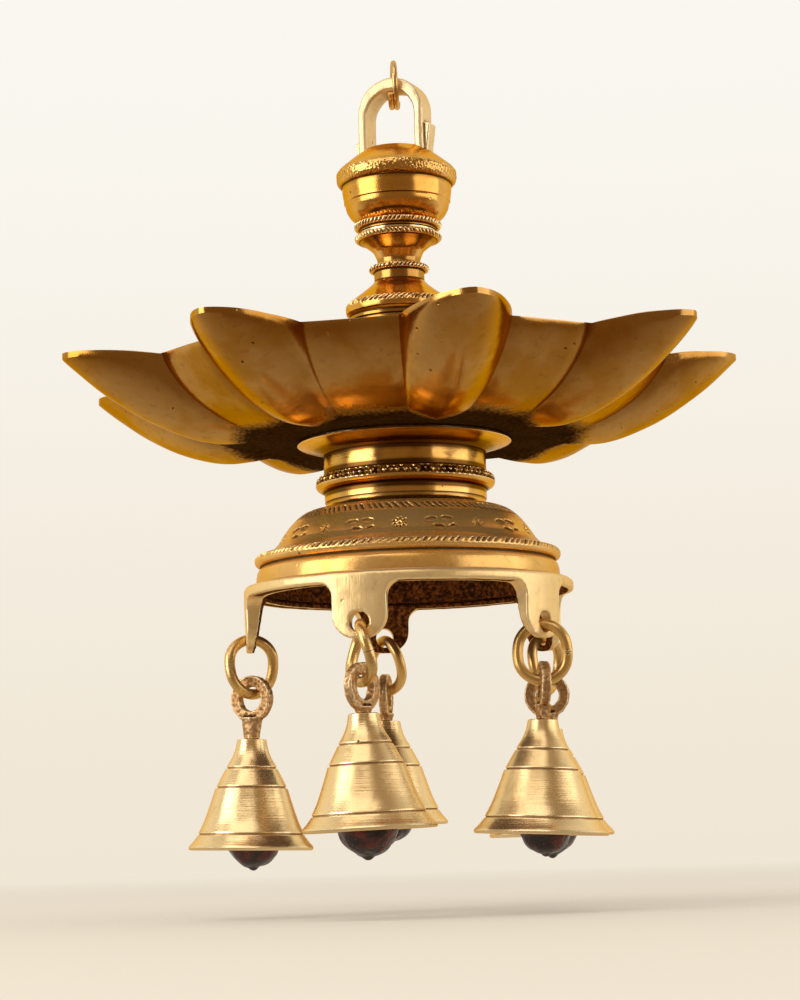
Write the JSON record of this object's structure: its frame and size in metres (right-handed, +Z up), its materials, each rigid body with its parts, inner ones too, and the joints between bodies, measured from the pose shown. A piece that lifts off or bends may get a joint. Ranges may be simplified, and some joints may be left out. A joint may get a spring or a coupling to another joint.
{
  "type": "hanging oil lamp",
  "caption": "Hanging cast brass oil lamp: a petal-shaped bowl with pointed wick spouts on a turned column, with a loop and ring above and a lugged foot of swinging bells below.",
  "frame": {"origin": "the inside top of the wire ring, where a hook or chain carries the lamp", "axes": "+Z up along the lamp's column, -Y towards the front of the picture, +X to its right"},
  "size_m": [0.2136, 0.2188, 0.2622],
  "materials": {
    "cast_brass": "cast, turned and polished, with brown patina in the creases",
    "pale_brass": "filed, pale and satin",
    "wire_brass": "smooth drawn wire, softly polished",
    "dark_brass": "rough cast, pitted and tarnished",
    "bell_brass": "turned satin with fine dark grooves",
    "clapper_lac": "hard seed, maroon-brown and glossy",
    "steel": "plain turned"
  },
  "bodies": {
    "ring": {"suspension_ring": "wire_brass"},
    "lamp": {"hanging_loop": "pale_brass", "top_knob": "cast_brass", "stem": "cast_brass", "tie_rod": "steel", "washer": "steel", "nut": "steel", "oil_bowl": "cast_brass", "drum": "cast_brass", "foot": "cast_brass", "lug_crown": "cast_brass"},
    "link_body_1": {"link_1": "wire_brass"},
    "link_body_2": {"link_2": "wire_brass"},
    "link_body_3": {"link_3": "wire_brass"},
    "link_body_4": {"link_4": "wire_brass"},
    "link_body_5": {"link_5": "wire_brass"},
    "bell_body_1": {"bell_eye_1": "dark_brass", "bell_1": "bell_brass"},
    "bell_body_2": {"bell_eye_2": "dark_brass", "bell_2": "bell_brass"},
    "bell_body_3": {"bell_eye_3": "dark_brass", "bell_3": "bell_brass"},
    "bell_body_4": {"bell_eye_4": "dark_brass", "bell_4": "bell_brass"},
    "bell_body_5": {"bell_eye_5": "dark_brass", "bell_5": "bell_brass"},
    "clapper_body_1": {"clapper_shank_1": "dark_brass", "clapper_1": "clapper_lac"},
    "clapper_body_2": {"clapper_shank_2": "dark_brass", "clapper_2": "clapper_lac"},
    "clapper_body_3": {"clapper_shank_3": "dark_brass", "clapper_3": "clapper_lac"},
    "clapper_body_4": {"clapper_shank_4": "dark_brass", "clapper_4": "clapper_lac"},
    "clapper_body_5": {"clapper_shank_5": "dark_brass", "clapper_5": "clapper_lac"}
  },
  "joints": [
    {"name": "lamp_swing", "type": "hinge", "parent": "ring", "child": "lamp", "pos_m": [0, 0, -0.01337], "axis": [-0.4226, -0.9063, 0], "range_deg": [-20, 20]},
    {"name": "link_swing_1", "type": "hinge", "parent": "lamp", "child": "link_body_1", "pos_m": [-0.01473, -0.04817, -0.18671], "axis": [-0.0174, -0.9998, 0], "range_deg": [-15, 15]},
    {"name": "link_swing_2", "type": "hinge", "parent": "lamp", "child": "link_body_2", "pos_m": [0.04023, -0.03031, -0.18671], "axis": [0.9336, -0.3584, 0], "range_deg": [-15, 15]},
    {"name": "link_swing_3", "type": "hinge", "parent": "lamp", "child": "link_body_3", "pos_m": [0.04405, 0.02442, -0.18671], "axis": [0.7193, 0.6947, 0], "range_deg": [-15, 15]},
    {"name": "link_swing_4", "type": "hinge", "parent": "lamp", "child": "link_body_4", "pos_m": [-0.00871, 0.04941, -0.18401], "axis": [-0.4226, 0.9063, 0], "range_deg": [-15, 15]},
    {"name": "link_swing_5", "type": "hinge", "parent": "lamp", "child": "link_body_5", "pos_m": [-0.0503, -0.00264, -0.18671], "axis": [-0.9455, -0.3256, 0], "range_deg": [-15, 15]},
    {"name": "bell_swing_1", "type": "hinge", "parent": "link_body_1", "child": "bell_body_1", "pos_m": [-0.01473, -0.04817, -0.20391], "axis": [0.6157, -0.788, 0], "range_deg": [-18, 18]},
    {"name": "bell_swing_2", "type": "hinge", "parent": "link_body_2", "child": "bell_body_2", "pos_m": [0.04023, -0.03031, -0.20391], "axis": [0.9994, -0.0349, 0], "range_deg": [-18, 18]},
    {"name": "bell_swing_3", "type": "hinge", "parent": "link_body_3", "child": "bell_body_3", "pos_m": [0.04405, 0.02442, -0.20391], "axis": [0.4067, 0.9135, 0], "range_deg": [-18, 18]},
    {"name": "bell_swing_4", "type": "hinge", "parent": "link_body_4", "child": "bell_body_4", "pos_m": [-0.00871, 0.04941, -0.20121], "axis": [-0.8829, 0.4695, 0], "range_deg": [-18, 18]},
    {"name": "bell_swing_5", "type": "hinge", "parent": "link_body_5", "child": "bell_body_5", "pos_m": [-0.0503, -0.00264, -0.20391], "axis": [-0.7314, -0.682, 0], "range_deg": [-18, 18]},
    {"name": "clapper_swing_1", "type": "hinge", "parent": "bell_body_1", "child": "clapper_body_1", "pos_m": [-0.0142, -0.04817, -0.2228], "axis": [0.7986, -0.6018, 0], "range_deg": [-12, 12]},
    {"name": "clapper_swing_2", "type": "hinge", "parent": "bell_body_2", "child": "clapper_body_2", "pos_m": [0.03918, -0.03031, -0.22538], "axis": [0.9945, 0.1045, 0], "range_deg": [-12, 12]},
    {"name": "clapper_swing_3", "type": "hinge", "parent": "bell_body_3", "child": "clapper_body_3", "pos_m": [0.04405, 0.02442, -0.22591], "axis": [0.1045, 0.9945, 0], "range_deg": [-12, 12]},
    {"name": "clapper_swing_4", "type": "hinge", "parent": "bell_body_4", "child": "clapper_body_4", "pos_m": [-0.00871, 0.04941, -0.22071], "axis": [0.9877, -0.1564, 0], "range_deg": [-12, 12]},
    {"name": "clapper_swing_5", "type": "hinge", "parent": "bell_body_5", "child": "clapper_body_5", "pos_m": [-0.05096, -0.00264, -0.2276], "axis": [0.5, 0.866, 0], "range_deg": [-12, 12]}
  ]
}
